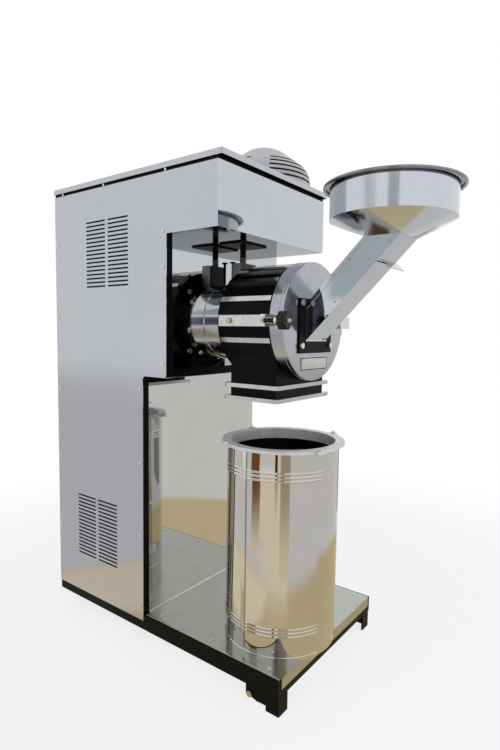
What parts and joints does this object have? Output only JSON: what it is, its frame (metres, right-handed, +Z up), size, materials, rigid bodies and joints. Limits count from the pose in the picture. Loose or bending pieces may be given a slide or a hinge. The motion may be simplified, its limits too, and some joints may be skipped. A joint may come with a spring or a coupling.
{
  "type": "commercial flour mill",
  "caption": "Free-standing flour mill: stainless cabinet on a black angle frame, belt-driven beater mill with hinged feed door, chute and hopper, and a flour drum on the platform.",
  "frame": {"origin": "on the floor, under the centre of the bounding box", "axes": "+Z up, -Y towards the feed hopper and the person using it, +X to their right"},
  "size_m": [0.4614, 1.0683, 1.3075],
  "materials": {
    "stainless": "polished sheet",
    "frame_black": "satin black paint",
    "mill_black": "gloss black",
    "bright_aluminium": "machined",
    "hood_grey": "satin",
    "cast_grey": "as cast",
    "turned_steel": "turned",
    "zinc": "zinc plated",
    "motor_paint": "semi-gloss",
    "knob_black": "moulded",
    "fan_black": "moulded",
    "belt_rubber": "matt"
  },
  "bodies": {
    "cabinet": {"platform_tray": "stainless", "left_side_panel": "stainless", "right_side_panel": "stainless", "back_panel": "stainless", "lower_front_panel": "stainless", "wall_panel": "stainless", "head_front_panel": "stainless", "head_floor_panel": "stainless", "step_panel": "stainless", "top_lid": "stainless", "neck_sleeve": "stainless", "sieve_ring": "stainless", "base_rails": "frame_black", "front_feet": "frame_black", "rear_feet": "frame_black", "uprights": "frame_black", "side_rails": "frame_black", "cross_rails": "frame_black", "motor_rails": "frame_black", "chamber_body": "mill_black", "outlet_collar": "mill_black", "chamber_strips": "bright_aluminium", "side_straps": "bright_aluminium", "chamber_ring": "bright_aluminium", "outlet_rims": "bright_aluminium", "vent_hood": "hood_grey", "bearing_plate": "cast_grey", "bearing_housing": "cast_grey", "hanger_block": "cast_grey", "mill_bearings": "turned_steel", "hanger_rod": "turned_steel", "hinge_pin": "turned_steel", "panel_screws": "zinc", "hex_bolts": "zinc", "grease_cup": "zinc", "hinge_bracket": "zinc", "clamp_bracket": "zinc", "motor_body": "motor_paint", "motor_cowl": "motor_paint", "cable_gland": "fan_black", "v_belts": "belt_rubber"},
    "door": {"door": "stainless", "inlet_plate": "mill_black", "inlet_bolts": "zinc", "feed_chute": "stainless", "chute_cover": "stainless", "hopper_bowl": "stainless", "hinge_leaf": "zinc", "clamp_lug": "zinc"},
    "gate": {"feed_gate": "stainless"},
    "clamp": {"clamp_knob": "knob_black"},
    "mill_rotor": {"mill_shaft": "turned_steel", "rotor_disc": "cast_grey", "beaters": "turned_steel", "driven_pulley": "cast_grey"},
    "motor_rotor": {"motor_shaft": "turned_steel", "motor_fan": "fan_black", "motor_pulley": "cast_grey"},
    "drum": {"flour_drum": "stainless", "drum_ring": "bright_aluminium"}
  },
  "joints": [
    {"name": "door_swing", "type": "hinge", "parent": "cabinet", "child": "door", "pos_m": [0.158, -0.1828, 0.839], "axis": [0, 0, 1], "range_deg": [0, 110]},
    {"name": "gate_slide", "type": "slide", "parent": "door", "child": "gate", "axis": [1, 0, 0], "range_m": [-0.042, 0.044]},
    {"name": "clamp_turn", "type": "hinge", "parent": "door", "child": "clamp", "pos_m": [-0.152, -0.2, 0.839], "axis": [0, 1, 0], "continuous": true},
    {"name": "motor_spin", "type": "hinge", "parent": "cabinet", "child": "motor_rotor", "pos_m": [0, 0.2, 0.216], "axis": [0, 1, 0], "continuous": true},
    {"name": "mill_spin", "type": "hinge", "parent": "cabinet", "child": "mill_rotor", "pos_m": [0, 0.2, 0.839], "axis": [0, 1, 0], "continuous": true},
    {"name": "drum_slide", "type": "slide", "parent": "cabinet", "child": "drum", "axis": [1, 0, 0], "range_m": [-0.02, 0.136]}
  ],
  "couplings": [
    {"joint": "mill_spin", "follows": "motor_spin", "ratio": 1.9111}
  ]
}
